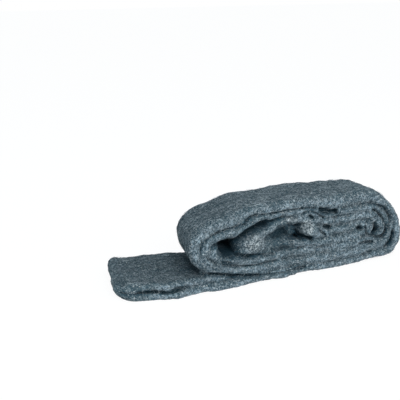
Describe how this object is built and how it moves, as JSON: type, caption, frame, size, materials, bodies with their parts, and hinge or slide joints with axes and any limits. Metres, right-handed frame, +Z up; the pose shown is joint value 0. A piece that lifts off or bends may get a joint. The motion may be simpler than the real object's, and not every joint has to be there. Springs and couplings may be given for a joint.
{
  "type": "steel wool pad",
  "caption": "Flat roll of felted steel wool band with its outer end drawn out as a tail, used for scouring and polishing.",
  "frame": {"origin": "on the surface that the roll lies on, below the middle of its bounding box", "axes": "+X along the band from the free tail to the roll, +Y across the band from the open front edge to the back edge, +Z up"},
  "size_m": [0.2494, 0.0776, 0.0578],
  "materials": {
    "steel_wool": "dull grey matted steel fibre, rough and fuzzy"
  },
  "bodies": {
    "root": {"steel_wool_band": "steel_wool"}
  },
  "joints": []
}
